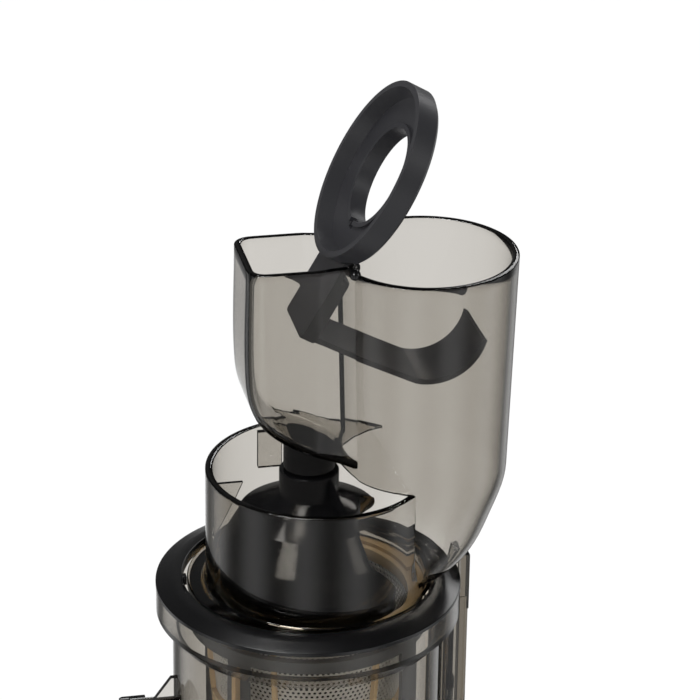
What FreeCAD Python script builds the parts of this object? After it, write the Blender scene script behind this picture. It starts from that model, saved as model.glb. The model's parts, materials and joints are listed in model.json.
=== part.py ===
"""Vertical auger juicer: flip-gate hopper, clear juicing drum and geared motor base.

Frame: +Z up, the feet stand on z = 0 and the auger axis is the Z axis.
The hopper's long axis is X, with the round chute at +X. The front is -Y.
All lengths are in millimetres and all angles are in degrees.
"""
import FreeCAD, Part
import math
import os

V = FreeCAD.Vector
X_AXIS = V(1, 0, 0)
Y_AXIS = V(0, 1, 0)
Z_AXIS = V(0, 0, 1)

# Heights of the stack
RING_Z = 310.0          # outer top edge of the lock ring
DECK_Z = 182.0          # deck that the drum stands on
HOUSING_TOP = 172.0
HOUSING_BOTTOM = 6.0

# Base housing, in plan
BASE_HALF_X = 78.0
BASE_FRONT = -78.0
BASE_REAR = 93.0
BASE_CORNER = 38.0
WALL = 3.0

# Drum and lock ring
DRUM_R = 66.5
DRUM_BORE = 63.4
FLANGE_R = 74.5
LOCK_RING_R = 74.7
LOCK_RING_BORE = 61.6
SPOUT_REACH = 88.0
JUICE_Z = 231.0
CAP_PIN_Z = JUICE_Z + 20.8
PULP_Z = 206.0
PULP_REACH = 95.0

# Hopper, heights above the lock ring
CHUTE_X = 55.0
CHUTE_R_TOP = 44.7
CHUTE_R_FOOT = 41.8
CHUTE_WALL = 3.3
CHUTE_RIM = 169.6
CHUTE_FOOT = 61.0
BOX_LEFT = -33.8
BOX_HALF = 24.5
NECK_HALF = 22.0
NECK_X = 20.0
BOX_RIM = 173.5
BOX_CORNER = 9.0
HOPPER_WALL = 3.2
EAR_R = 5.0
EAR_WIDE = 3.9

# Flip gate
PIVOT_X = 15.7
PIVOT_H = 171.5
GATE_OPEN = 60.0        # angle that the gate stands open in the rest pose
GATE_RING_R = 45.0
GATE_RING_REACH = 41.5  # pivot to ring centre
GATE_HOLE_R = 24.4
GATE_BACK = 1.0         # back face of the ring above the pivot plane
GATE_DEPTH = 11.6
GATE_HALF = 17.6
GATE_PLATE = 3.0
GATE_ARM = 4.0          # the arm's depth below the plate
NOTCH_HALF = 2.4
PIN_R = 2.0
PIN_FIT = 0.05

# Bowl under the hopper
BOWL_X = 5.4
BOWL_R = 55.5
BOWL_BORE = 52.0
BOWL_RIM = 60.7

# Strainer and auger
MESH_R_TOP = 49.6
MESH_R_FOOT = 41.6
MESH_TOP = 300.0
MESH_FOOT = 206.0
MESH_THICK = 0.6
RIB_HALF = 1.1
AUGER_FOOT = 207.5
BELL_R = 43.0
NECK_R = 14.5
JOURNAL_R = 5.0
GROOVE_ANGLE = -57.0    # plan angle where the groove starts
GROOVE_START = 24.0     # above the lock ring
GROOVE_PITCH = 240.0
GROOVE_HEIGHT = 58.0
GROOVE_TURN = 140.0
GROOVE_STEPS = 14
GROOVE_ROOT = 25.0
SHAFT_R = 6.0
RUNNING_FIT = 0.06

# Interlock
ROD_X = 72.4
ROD_BORE = 3.9
SPRING_R = 2.55
SPRING_WIRE = 0.75
SPRING_PITCH = 1.6
SPRING_TURNS = 17

# Gear train
OUTPUT_MODULE = 1.5
OUTPUT_TEETH = 50
PINION_TEETH = 14
FAST_MODULE = 1.0
WHEEL_TEETH = 44
MOTOR_TEETH = 11
WIPER_MODULE = 2.0
SUN_TEETH = 24
IDLER_TEETH = 12
RING_TEETH = 48
BACKLASH = 0.35
LAYSHAFT_Y = OUTPUT_MODULE * (OUTPUT_TEETH + PINION_TEETH) / 2
MOTOR_Y = LAYSHAFT_Y - FAST_MODULE * (WHEEL_TEETH + MOTOR_TEETH) / 2
IDLER_X = WIPER_MODULE * (SUN_TEETH + IDLER_TEETH) / 2
MOTOR_R = 40.0
MOTOR_TOP = 112.0

# Control knob on the front
KNOB_Z = 96.0
KNOB_R = 18.0


def face_of(edges):
    return Part.Face(Part.Wire(edges))


def polygon(points):
    return Part.Face(Part.makePolygon(points + [points[0]]))


def turned(profile, x=0.0, y=0.0):
    """Solid of revolution about a vertical axis, from (radius, z) corners."""
    section = polygon([V(r, 0, z) for r, z in profile])
    solid = section.revolve(V(0, 0, 0), Z_AXIS, 360)
    solid.translate(V(x, y, 0))
    return solid


def rod(radius, z0, z1, x=0.0, y=0.0):
    return Part.makeCylinder(radius, z1 - z0, V(x, y, z0))


def tube(outer, inner, z0, z1, x=0.0, y=0.0):
    return rod(outer, z0, z1, x, y).cut(rod(inner, z0 - 1, z1 + 1, x, y))


def block(x0, x1, y0, y1, z0, z1):
    return Part.makeBox(x1 - x0, y1 - y0, z1 - z0, V(x0, y0, z0))


def rounded_plan(x0, x1, y0, y1, radius, z0, z1):
    """Upright prism with rounded corners."""
    solid = block(x0, x1, y0, y1, z0, z1)
    upright = [e for e in solid.Edges if abs(e.Vertexes[0].Z - e.Vertexes[-1].Z) > (z1 - z0) / 2]
    return solid.makeFillet(radius, upright)


def union(shapes):
    return shapes[0].multiFuse(shapes[1:]).removeSplitter()


def ring_copies(shape, count):
    """Copies of a shape turned evenly about the Z axis."""
    copies = []
    for index in range(count):
        copy = shape.copy()
        copy.rotate(V(0, 0, 0), Z_AXIS, 360.0 * index / count)
        copies.append(copy)
    return copies


def save(name, shape):
    if not shape.isValid():
        print("invalid:", name)
    print(name, len(shape.Solids), round(shape.Volume))
    shape.exportStep("parts/" + name + ".step")


def involute_flank(base, radius):
    """Polar angle of an involute point at a radius."""
    pressure = math.acos(min(1.0, base / radius))
    return math.tan(pressure) - pressure


def gear_face(teeth, module, internal=False, turn=0.0):
    """Outline of a spur gear with 20 degree involute teeth and some backlash."""
    pitch = module * teeth / 2
    base = pitch * math.cos(math.radians(20))
    tip = pitch + module * (1.15 if internal else 0.92)
    root = pitch - module * (0.8 if internal else 1.2)
    slack = BACKLASH / 2 * (-1 if internal else 1)
    half = math.pi / (2 * teeth) - slack / pitch + involute_flank(base, pitch)
    start = max(base, root)
    radii = [start + (tip - start) * step / 4 for step in range(5)]
    points = []
    for tooth in range(teeth):
        middle = 2 * math.pi * tooth / teeth + math.radians(turn)
        rising = [(r, middle - half + involute_flank(base, r)) for r in radii]
        falling = [(r, middle + half - involute_flank(base, r)) for r in reversed(radii)]
        foot = [(root, rising[0][1])] if start > root else []
        heel = [(root, falling[-1][1])] if start > root else []
        for r, angle in foot + rising + falling + heel:
            points.append(V(r * math.cos(angle), r * math.sin(angle), 0))
    return polygon(points)


def spur_gear(teeth, module, bore, z0, z1, turn=0.0):
    body = gear_face(teeth, module, turn=turn).extrude(V(0, 0, z1 - z0))
    body.translate(V(0, 0, z0))
    return body.cut(rod(bore, z0 - 1, z1 + 1))


def hexagon(across, z0, z1):
    corner = across / math.sqrt(3)
    points = []
    for index in range(6):
        angle = math.radians(60 * index)
        points.append(V(corner * math.cos(angle), corner * math.sin(angle), z0))
    return polygon(points).extrude(V(0, 0, z1 - z0))


def side_profile(points, half):
    """Plate or prism from corners in the X-Z plane, wide in Y."""
    return polygon([V(x, -half, z) for x, z in points]).extrude(V(0, 2 * half, 0))


def box_plan(inset, z0, z1):
    """Hopper box in plan: straight walls that draw in to the neck."""
    left = BOX_LEFT + inset
    half = BOX_HALF - inset
    neck = NECK_HALF - inset
    corner = BOX_CORNER - inset
    bend = corner * (1 - math.sqrt(0.5))
    mid_x = NECK_X / 2
    mid_y = (half + neck) / 2 - 0.6
    end_x = CHUTE_X
    edges = [
        Part.LineSegment(V(left, -half + corner, z0), V(left, half - corner, z0)).toShape(),
        Part.Arc(V(left, half - corner, z0), V(left + bend, half - bend, z0),
                 V(left + corner, half, z0)).toShape(),
        Part.LineSegment(V(left + corner, half, z0), V(0, half, z0)).toShape(),
        Part.Arc(V(0, half, z0), V(mid_x, mid_y, z0), V(NECK_X, neck, z0)).toShape(),
        Part.LineSegment(V(NECK_X, neck, z0), V(end_x, neck, z0)).toShape(),
        Part.LineSegment(V(end_x, neck, z0), V(end_x, -neck, z0)).toShape(),
        Part.LineSegment(V(end_x, -neck, z0), V(NECK_X, -neck, z0)).toShape(),
        Part.Arc(V(NECK_X, -neck, z0), V(mid_x, -mid_y, z0), V(0, -half, z0)).toShape(),
        Part.LineSegment(V(0, -half, z0), V(left + corner, -half, z0)).toShape(),
        Part.Arc(V(left + corner, -half, z0), V(left + bend, -half + bend, z0),
                 V(left, -half + corner, z0)).toShape(),
    ]
    return face_of(edges).extrude(V(0, 0, z1 - z0))


def box_side(inset, top, right):
    """Hopper box from the side: a rounded heel, then a floor that falls to the chute."""
    z = RING_Z
    left = BOX_LEFT + inset
    heel = V(left, -50, z + 115)
    heel_mid = V(-28.6 + 0.75 * inset, -50, z + 95.2 + 0.65 * inset)
    heel_end = V(-15.6 + 0.45 * inset, -50, z + 82.6 + 0.9 * inset)
    floor_end = V(right, -50, z + 61.6 + 1.11 * inset - 0.488 * (right - 28.0))
    edges = [
        Part.LineSegment(V(left, -50, z + top), heel).toShape(),
        Part.Arc(heel, heel_mid, heel_end).toShape(),
        Part.LineSegment(heel_end, floor_end).toShape(),
        Part.LineSegment(floor_end, V(right, -50, z + top)).toShape(),
        Part.LineSegment(V(right, -50, z + top), V(left, -50, z + top)).toShape(),
    ]
    return face_of(edges).extrude(V(0, 100, 0))


def hopper_box(inset, top, right):
    return box_side(inset, top, right).common(box_plan(inset, RING_Z, RING_Z + top + 5))


def make_hopper():
    z = RING_Z
    height = CHUTE_RIM - CHUTE_FOOT
    chute = Part.makeCone(CHUTE_R_FOOT, CHUTE_R_TOP, height, V(CHUTE_X, 0, z + CHUTE_FOOT))
    slope = (CHUTE_R_TOP - CHUTE_R_FOOT) / height
    bore_foot = CHUTE_R_FOOT - CHUTE_WALL - 20 * slope
    bore_top = CHUTE_R_TOP - CHUTE_WALL + 20 * slope
    bore = Part.makeCone(bore_foot, bore_top, height + 40, V(CHUTE_X, 0, z + CHUTE_FOOT - 20))
    shell = union([hopper_box(0, BOX_RIM, NECK_X), chute])
    boss = Part.makeCylinder(EAR_R, EAR_WIDE, V(PIVOT_X, NECK_HALF - HOPPER_WALL, z + PIVOT_H), Y_AXIS)
    ear_y = NECK_HALF - HOPPER_WALL
    leg = block(PIVOT_X - EAR_R, PIVOT_X + EAR_R, ear_y, ear_y + EAR_WIDE, z + PIVOT_H - 14, z + PIVOT_H)
    ear = boss.fuse(leg).removeSplitter()
    mirror_ear = ear.mirror(V(0, 0, 0), Y_AXIS)
    shell = union([shell, ear, mirror_ear])
    shell = shell.cut(hopper_box(HOPPER_WALL, BOX_RIM + 10, CHUTE_X - 20)).cut(bore)
    pin_hole = Part.makeCylinder(PIN_R + PIN_FIT, 80, V(PIVOT_X, -40, z + PIVOT_H), Y_AXIS)
    foot_cut = block(-60, 120, -60, 60, z, z + CHUTE_FOOT)
    return shell.cut(pin_hole).cut(foot_cut)


def open_gate(shape):
    """Turn a gate piece from its shut pose to the open rest pose."""
    shape.rotate(V(PIVOT_X, 0, RING_Z + PIVOT_H), Y_AXIS, -GATE_OPEN)
    return shape


def make_gate():
    """Ring dish over the chute, plate over the box and the curved scoop below it, drawn shut."""
    pivot_z = RING_Z + PIVOT_H
    ring_x = PIVOT_X + GATE_RING_REACH
    back = pivot_z + GATE_BACK
    top = back + GATE_DEPTH
    dish = turned([
        (GATE_HOLE_R, back), (GATE_RING_R - 1.5, back), (GATE_RING_R, back + 1.5), (GATE_RING_R, top),
        (GATE_RING_R - 3.0, top), (GATE_RING_R - 5.5, back + 4.2), (GATE_HOLE_R + 2.2, back + 3.0),
        (GATE_HOLE_R + 2.2, back + 4.4), (GATE_HOLE_R, back + 4.4),
    ], ring_x)
    collar = tube(GATE_HOLE_R + 2.2, GATE_HOLE_R, back - 4.0, back + 1.0, ring_x)
    plate_left = PIVOT_X - 41.4
    plate = rounded_plan(plate_left, PIVOT_X + 6.0, -GATE_HALF, GATE_HALF, 2.5, back, back + GATE_PLATE)
    arm = rounded_plan(plate_left, PIVOT_X - 7.0, -GATE_HALF, GATE_HALF, 2.5, back - GATE_ARM, back + 1.0)
    hub = Part.makeCylinder(4.2, 2 * GATE_HALF, V(PIVOT_X, -GATE_HALF, pivot_z), Y_AXIS)
    z = RING_Z
    thick = 2.6
    outer_mid = V(-22.9, 0, z + 134)
    lower_mid = V(-14.5, 0, z + 100.4)
    path = [V(plate_left + 1.3, 0, back + 0.5), outer_mid, V(-21.6, 0, z + 113), lower_mid]
    path.append(V(12.5, 0, z + 93.5))
    inner = [p + V(thick, 0, 0.35 * thick) for p in path[:3]]
    inner.append(lower_mid + V(0.6 * thick, 0, 0.8 * thick))
    inner.append(path[4] + V(0, 0, thick))
    edges = [
        Part.Arc(path[0], path[1], path[2]).toShape(),
        Part.Arc(path[2], path[3], path[4]).toShape(),
        Part.LineSegment(path[4], inner[4]).toShape(),
        Part.Arc(inner[4], inner[3], inner[2]).toShape(),
        Part.Arc(inner[2], inner[1], inner[0]).toShape(),
        Part.LineSegment(inner[0], path[0]).toShape(),
    ]
    scoop = face_of(edges).extrude(V(0, 2 * GATE_HALF, 0))
    scoop.translate(V(0, -GATE_HALF, 0))
    gate = union([dish.fuse(collar), plate.cut(rod(GATE_RING_R - 2, 0, 900, ring_x)), arm, hub, scoop])
    relief = block(PIVOT_X + 3.4, ring_x, -60, 60, pivot_z - 20, back - 0.01)
    hub_side = Part.makeCylinder(PIN_R + PIN_FIT, 80, V(PIVOT_X, -40, pivot_z), Y_AXIS)
    gate = gate.cut(relief.cut(tube(GATE_HOLE_R + 2.2, GATE_HOLE_R, 0, 900, ring_x))).cut(hub_side)
    for side in (-1, 1):
        ear_face = V(PIVOT_X, side * (GATE_HALF + 0.4), pivot_z)
        gate = gate.cut(Part.makeCylinder(EAR_R + 1.6, 8.0, ear_face, V(0, side, 0)))
    hole_edge = ring_x - GATE_HOLE_R
    notch = block(hole_edge - 4.5, hole_edge + 1.0, -NOTCH_HALF, NOTCH_HALF, back + 1.4, top)
    return open_gate(gate.cut(notch))


def make_hinge_pins():
    """Two headed pins that carry the gate in the neck."""
    pins = []
    for side in (-1, 1):
        shank = Part.makeCylinder(PIN_R, 13.4, V(PIVOT_X, side * 12.6, RING_Z + PIVOT_H), V(0, side, 0))
        head = Part.makeSphere(2.7, V(PIVOT_X, side * 25.6, RING_Z + PIVOT_H))
        pins.append(shank.fuse(head))
    return Part.makeCompound(pins)


def elbow(inset):
    """Shoulder that leads from the chute into the bowl, through round sections."""
    sections = [
        (CHUTE_X, CHUTE_R_FOOT, BOWL_RIM), (53.0, 41.3, 50.0), (50.0, 40.4, 38.5),
        (43.5, 39.8, 21.9), (35.5, 38.8, 11.5), (22.0, 37.4, 4.2),
    ]
    wires = []
    for x, radius, height in sections:
        lift = 1.0 if height == BOWL_RIM and inset else 0.0
        circle = Part.Circle(V(x, 0, RING_Z + height + lift), Z_AXIS, radius - inset)
        wires.append(Part.Wire(circle.toShape()))
    return Part.makeLoft(wires, True, False)


def make_bowl():
    z = RING_Z
    outer = union([rod(BOWL_R, z, z + BOWL_RIM, BOWL_X), elbow(0)])
    foot = rod(59.4, z - 2.0, z + 2.0)
    bowl = union([outer, foot])
    bowl = bowl.cut(rod(BOWL_BORE, z - 5, z + BOWL_RIM + 5, BOWL_X).common(rod(51.5, z - 5, z + 90, 0).fuse(
        block(-70, 90, -70, 70, z + 2, z + 90))))
    bowl = bowl.cut(elbow(CHUTE_WALL))
    fin = side_profile([(-47.5, z + 60.5), (-34.0, z + 60.5), (-46.4, z + 30.0), (-47.5, z + 30.0)], 1.0)
    fin.translate(V(0, -8.0, 0))
    rib = block(-16.0, -14.2, 34.0, 48.6, z + 44.0, z + 60.5)
    return union([bowl, fin, rib])


def make_upper_bush():
    """Bearing boss under the hopper floor, bored for the auger's top journal."""
    z = RING_Z
    boss = rod(12.5, z + 62.0, z + 90.0).cut(hopper_box(0, BOX_RIM, NECK_X))
    boss = boss.cut(box_side(0, BOX_RIM, 40.0))
    return boss.cut(rod(JOURNAL_R + RUNNING_FIT, z + 50, z + 69.0))


def make_lock_ring():
    z = RING_Z
    ring = turned([
        (LOCK_RING_BORE, z - 2.0), (LOCK_RING_R, z - 2.0), (LOCK_RING_R, z), (64.8, z + 3.4),
        (LOCK_RING_BORE, z + 3.4),
    ])
    lug = block(-62.5, -60.4, -2.0, 2.0, z + 3.0, z + 7.5)
    return ring.fuse(lug).removeSplitter()


def make_drum():
    z = RING_Z - 2.0
    floor = DECK_Z
    body = turned([
        (9.5, floor), (63.5, floor), (DRUM_R, floor + 3.0), (DRUM_R, z - 22), (FLANGE_R, z - 13),
        (FLANGE_R, z), (FLANGE_R - WALL, z), (FLANGE_R - WALL, z - 11.5), (DRUM_BORE, z - 20.5),
        (DRUM_BORE, floor + 6), (61.4, floor + 4), (13.0, floor + 4), (13.0, floor + 23), (9.5, floor + 23),
    ])
    spout = Part.makeCylinder(17, SPOUT_REACH - 60, V(-60, 0, JUICE_Z), V(-1, 0, 0))
    spout_bore = Part.makeCylinder(14, SPOUT_REACH, V(-40, 0, JUICE_Z), V(-1, 0, 0))
    chute = Part.makeCylinder(15, PULP_REACH - 58, V(0, -58, PULP_Z), V(0, -1, 0))
    chute_bore = Part.makeCylinder(12, PULP_REACH, V(0, -40, PULP_Z), V(0, -1, 0))
    gusset = side_profile([
        (-64.8, JUICE_Z + 30), (-68.5, JUICE_Z + 30), (-78, JUICE_Z + 17), (-78, JUICE_Z + 10),
        (-64.8, JUICE_Z + 10),
    ], 1.5)
    column = rounded_plan(58.0, 80.0, -7.0, 7.0, 3.0, floor + 12, z - 13)
    guard = block(75.4, 79.9, -6.5, 6.5, z - 20, RING_Z + 8)
    keep = rod(DRUM_BORE + 0.8, 0, 900)
    ribs = union([spout, chute, gusset, column, guard]).cut(keep)
    drum = union([body, ribs]).cut(spout_bore).cut(chute_bore)
    drum = drum.cut(rod(ROD_BORE, floor + 30, z + 5, ROD_X)).cut(rod(2.5, floor, floor + 40, ROD_X))
    post = rod(3.0, floor + 3.5, floor + 13.0, IDLER_X)
    return union([drum, post])


def mesh_radius(z):
    share = (z - MESH_FOOT) / (MESH_TOP - MESH_FOOT)
    return MESH_R_FOOT + share * (MESH_R_TOP - MESH_R_FOOT)


def make_strainer_mesh():
    return turned([
        (MESH_R_FOOT - MESH_THICK, MESH_FOOT), (MESH_R_FOOT, MESH_FOOT), (MESH_R_TOP, MESH_TOP),
        (MESH_R_TOP - MESH_THICK, MESH_TOP),
    ])


def make_strainer_frame():
    """Moulded frame: top rim, foot cup and ribs outside the perforated sheet."""
    rim = turned([(49.0, MESH_TOP), (58.0, MESH_TOP), (58.0, MESH_TOP + 6), (49.0, MESH_TOP + 6)])
    foot = turned([
        (19.5, 201.0), (45.0, 201.0), (45.0, MESH_FOOT), (40.5, MESH_FOOT), (40.5, 204.0), (19.5, 204.0),
    ])
    skin = turned([
        (MESH_R_FOOT + 0.1, MESH_FOOT), (MESH_R_FOOT + 2.6, MESH_FOOT), (MESH_R_TOP + 2.6, MESH_TOP),
        (MESH_R_TOP + 0.1, MESH_TOP),
    ])
    bars = [skin.common(bar) for bar in ring_copies(block(30, 60, -RIB_HALF, RIB_HALF, 200, 302), 6)]
    hoop = skin.common(block(-80, 80, -80, 80, 250, 254))
    return union([rim, foot, hoop] + bars)


def groove_floor(turn):
    """Height of the flight's upper face after a turn in degrees from the groove's start."""
    return RING_Z + GROOVE_START - GROOVE_PITCH * turn / 360.0


def make_auger():
    """Feed bell with one deep helical groove, a top journal and a hexagon socket."""
    z = RING_Z
    slack = MESH_THICK + 1.2
    bell = turned([
        (0, AUGER_FOOT), (mesh_radius(AUGER_FOOT) - slack, AUGER_FOOT), (BELL_R, z - 50),
        (BELL_R, z + 22), (34.0, z + 37.4), (NECK_R, z + 47), (NECK_R, z + 59.8), (JOURNAL_R, z + 59.8),
        (JOURNAL_R, z + 68.0), (0, z + 68.0),
    ])
    trim = turned([
        (mesh_radius(AUGER_FOOT) - slack, AUGER_FOOT - 1), (70, AUGER_FOOT - 1), (70, z - 5),
        (BELL_R + 0.5, z - 5), (BELL_R + 0.5, MESH_TOP - 40),
        (mesh_radius(MESH_TOP - 60) - slack, MESH_TOP - 60),
    ])
    wires = []
    for step in range(GROOVE_STEPS + 1):
        turn = GROOVE_TURN * step / GROOVE_STEPS
        angle = math.radians(GROOVE_ANGLE + turn)
        low = groove_floor(turn)
        high = min(z + 70.0, low + GROOVE_HEIGHT)
        way = V(math.cos(angle), math.sin(angle), 0)
        root = way * GROOVE_ROOT
        mouth = way * (BELL_R + 19.0)
        corners = [root + V(0, 0, low), mouth + V(0, 0, low - 3.0), mouth + V(0, 0, high), root + V(0, 0, high)]
        wires.append(Part.makePolygon(corners + [corners[0]]))
    groove = Part.makeLoft(wires, True, True)
    body = bell.cut(trim).cut(groove)
    return body.cut(rod(11.2, AUGER_FOOT - 1, AUGER_FOOT + 26))


def make_drive_insert():
    """Steel hexagon socket moulded into the auger's foot."""
    sleeve = rod(11.0, AUGER_FOOT + 0.5, AUGER_FOOT + 25.5)
    return sleeve.cut(hexagon(12.2, AUGER_FOOT, AUGER_FOOT + 23))


def make_drive_shaft():
    round_part = rod(SHAFT_R, 121.5, DECK_Z + 24)
    return round_part.fuse(hexagon(12.0, DECK_Z + 24, AUGER_FOOT + 20)).removeSplitter()


def make_auger_gear():
    """Sun gear under the auger that turns the wiper cage through the idler."""
    gear = spur_gear(SUN_TEETH, WIPER_MODULE, 14.0, DECK_Z + 6.5, DECK_Z + 12.5)
    hub = tube(18.0, 14.0, DECK_Z + 12.5, AUGER_FOOT - 0.2)
    return gear.fuse(hub).removeSplitter()


def make_idler():
    gear = spur_gear(IDLER_TEETH, WIPER_MODULE, 3.0 + RUNNING_FIT, DECK_Z + 6.5, DECK_Z + 12.5, turn=0.0)
    gear.rotate(V(0, 0, 0), Z_AXIS, 180.0 / IDLER_TEETH)
    gear.translate(V(IDLER_X, 0, 0))
    return gear


def make_wiper_cage():
    """Cage round the strainer: ring gear at the foot, four windows and a top hoop."""
    low = DECK_Z + 6.5
    top = MESH_TOP - 4.0
    teeth = gear_face(RING_TEETH, WIPER_MODULE, internal=True, turn=180.0 / RING_TEETH)
    teeth = teeth.extrude(V(0, 0, 8.0))
    teeth.translate(V(0, 0, low - 1.0))
    cage = rod(58.6, low, top).cut(rod(54.5, low + 6.0, top + 1)).cut(teeth)
    window = block(35.0, 75.0, -36.5, 36.5, low + 12, top - 6)
    for opening in ring_copies(window, 4):
        cage = cage.cut(opening)
    return cage


def make_wipers():
    """Soft blades clipped along two of the uprights."""
    blade = block(58.7, 62.6, -1.0, 1.0, DECK_Z + 22, MESH_TOP - 12)
    blade.rotate(V(0, 0, 0), Z_AXIS, 45)
    return Part.makeCompound(ring_copies(blade, 2))


def make_lid_gasket():
    return tube(58.0, 52.0, MESH_TOP + 6, RING_Z - 2.0)


def make_drum_seal():
    return tube(9.4, SHAFT_R + RUNNING_FIT, DECK_Z + 1, DECK_Z + 9)


def side_hung(shape):
    """Turn a piece drawn over the juice spout to the spout's rear side."""
    shape.rotate(V(0, 0, JUICE_Z), X_AXIS, -90)
    return shape


def make_juice_cap():
    """Hinged stopper on the juice spout, with a thumb lever."""
    z = JUICE_Z
    face = -SPOUT_REACH - 0.6
    disc = Part.makeCylinder(17.5, 4.0, V(face, 0, z), V(-1, 0, 0))
    plug = Part.makeCylinder(13.0, 6.0, V(face + 5.1, 0, z), V(-1, 0, 0))
    arm = block(face - 4.0, face + 0.4, -4.5, 4.5, z + 12.0, CAP_PIN_Z + 3.2)
    lever = block(face - 11.1, face - 3.0, -6.0, 6.0, z - 3.0, z + 3.0)
    cap = union([disc, plug, arm, lever])
    pin_hole = Part.makeCylinder(1.5 + RUNNING_FIT, 40, V(face - 0.6, -20, CAP_PIN_Z), Y_AXIS)
    return side_hung(cap.cut(pin_hole))


def make_cap_bracket():
    """Yoke and pin that carry the juice cap over the spout."""
    pin_x = -SPOUT_REACH - 1.2
    pieces = [Part.makeCylinder(1.5, 15.0, V(pin_x, -7.5, CAP_PIN_Z), Y_AXIS)]
    for y0 in (-7.5, 5.0):
        pieces.append(block(pin_x + 5, pin_x + 11, y0, y0 + 2.5, JUICE_Z + 14.0, CAP_PIN_Z + 2.4))
        pieces.append(block(pin_x, pin_x + 8, y0, y0 + 2.5, CAP_PIN_Z - 2.4, CAP_PIN_Z + 2.4))
        pieces.append(Part.makeCylinder(2.4, 2.5, V(pin_x, y0, CAP_PIN_Z), Y_AXIS))
    yoke = union(pieces)
    return side_hung(yoke.cut(Part.makeCylinder(17.05, 60, V(-40, 0, JUICE_Z), V(-1, 0, 0))))


def biarc(p0, t0, p1, t1):
    """Two tangent arcs from one point and direction to another."""
    chord = p1 - p0
    total = t0 + t1
    a = total.dot(total) - 4.0
    b = -2.0 * chord.dot(total)
    c = chord.dot(chord)
    reach = (-b - math.sqrt(b * b - 4 * a * c)) / (2 * a)
    if reach < 0:
        reach = (-b + math.sqrt(b * b - 4 * a * c)) / (2 * a)
    q0 = p0 + t0 * reach
    q1 = p1 - t1 * reach
    joint = (q0 + q1) * 0.5
    arcs = []
    for start, corner, end in ((p0, q0, joint), (joint, q1, p1)):
        middle = (start + end) * 0.5
        half = (end - start).Length / 2
        rise = corner - middle
        bend = math.atan2(rise.Length, half)
        crown = middle + rise * (half * math.tan(bend / 2) / rise.Length)
        arcs.append(Part.Arc(start, crown, end).toShape())
    return arcs


def make_interlock_spring():
    """Compression spring under the interlock knob, one unbroken wire."""
    foot = DECK_Z + 31.0
    climb = SPRING_PITCH / (2 * math.pi)
    quarter = math.pi / 2
    edges = []
    for step in range(4 * SPRING_TURNS):
        ends = []
        for angle in (quarter * step, quarter * (step + 1)):
            point = V(SPRING_R * math.cos(angle), SPRING_R * math.sin(angle), climb * angle)
            way = V(-SPRING_R * math.sin(angle), SPRING_R * math.cos(angle), climb)
            ends.append((point, way * (1.0 / way.Length)))
        edges += biarc(ends[0][0], ends[0][1], ends[1][0], ends[1][1])
    path = Part.Wire(edges)
    start_way = V(0, SPRING_R, climb)
    profile = Part.Wire(Part.Circle(V(SPRING_R, 0, 0), start_way, SPRING_WIRE / 2).toShape())
    shell = Part.BRepOffsetAPI.MakePipeShell(path)
    shell.add(profile)
    shell.build()
    shell.makeSolid()
    spring = shell.shape()
    spring.translate(V(ROD_X, 0, foot + SPRING_WIRE))
    return spring


def make_interlock_rod():
    """Plunger with a knob that the spring lifts and the lock ring's cam presses."""
    knob_z = DECK_Z + 31.0 + SPRING_PITCH * SPRING_TURNS + 2 * SPRING_WIRE
    stem = rod(2.1, knob_z + 4, RING_Z - 12, ROD_X)
    knob = rod(3.5, knob_z, knob_z + 5.5, ROD_X)
    tail = rod(1.5, DECK_Z - 8.0, knob_z + 1, ROD_X)
    return union([stem, knob, tail])


def base_prism(inset, z0, z1):
    return rounded_plan(-BASE_HALF_X + inset, BASE_HALF_X - inset, BASE_FRONT + inset, BASE_REAR - inset,
                        BASE_CORNER - inset, z0, z1)


def make_housing():
    shell = base_prism(0, HOUSING_BOTTOM, HOUSING_TOP)
    lower = [e for e in shell.Edges if abs(e.BoundBox.ZMax - HOUSING_BOTTOM) < 0.01]
    shell = shell.makeChamfer(2.0, lower)
    shell = shell.cut(base_prism(WALL, HOUSING_BOTTOM - 1, HOUSING_TOP + 1))
    knob_hole = Part.makeCylinder(6.0, 20, V(0, BASE_FRONT - 5, KNOB_Z), Y_AXIS)
    gland_hole = Part.makeCylinder(6.2, 20, V(0, BASE_REAR - 10, 30), Y_AXIS)
    return shell.cut(knob_hole).cut(gland_hole)


def make_deck():
    deck = base_prism(0, HOUSING_TOP, DECK_Z)
    rim = [e for e in deck.Edges if abs(e.BoundBox.ZMin - DECK_Z) < 0.01]
    deck = deck.makeFillet(6.0, rim)
    collar = tube(70.2, 67.0, DECK_Z - 4, DECK_Z + 6)
    deck = union([deck, collar])
    hollow = base_prism(WALL + 4, HOUSING_TOP - 1, DECK_Z - 3.5)
    deck = deck.cut(hollow).cut(rod(9.0, 100, 300))
    return deck.cut(rod(2.1, 100, 300, ROD_X))


def make_bottom_cover():
    cover = base_prism(WALL + 0.3, HOUSING_BOTTOM, HOUSING_BOTTOM + 3)
    for index in range(7):
        x = -24.0 + 8.0 * index
        cover = cover.cut(block(x - 1.6, x + 1.6, -15, 40, 0, 20))
    return cover


def make_feet():
    feet = []
    for x in (-54, 54):
        for y in (-54, 69):
            feet.append(turned([(0, 0), (10, 0), (11, 1), (11, HOUSING_BOTTOM), (0, HOUSING_BOTTOM)], x, y))
    return Part.makeCompound(feet)


def make_motor_can():
    can = turned([
        (0, 26), (MOTOR_R - 2, 26), (MOTOR_R, 28), (MOTOR_R, MOTOR_TOP - 4), (MOTOR_R - 4, MOTOR_TOP),
        (0, MOTOR_TOP),
    ], 0, MOTOR_Y)
    return can.cut(rod(SHAFT_R, 20, 130, 0, MOTOR_Y))


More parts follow.
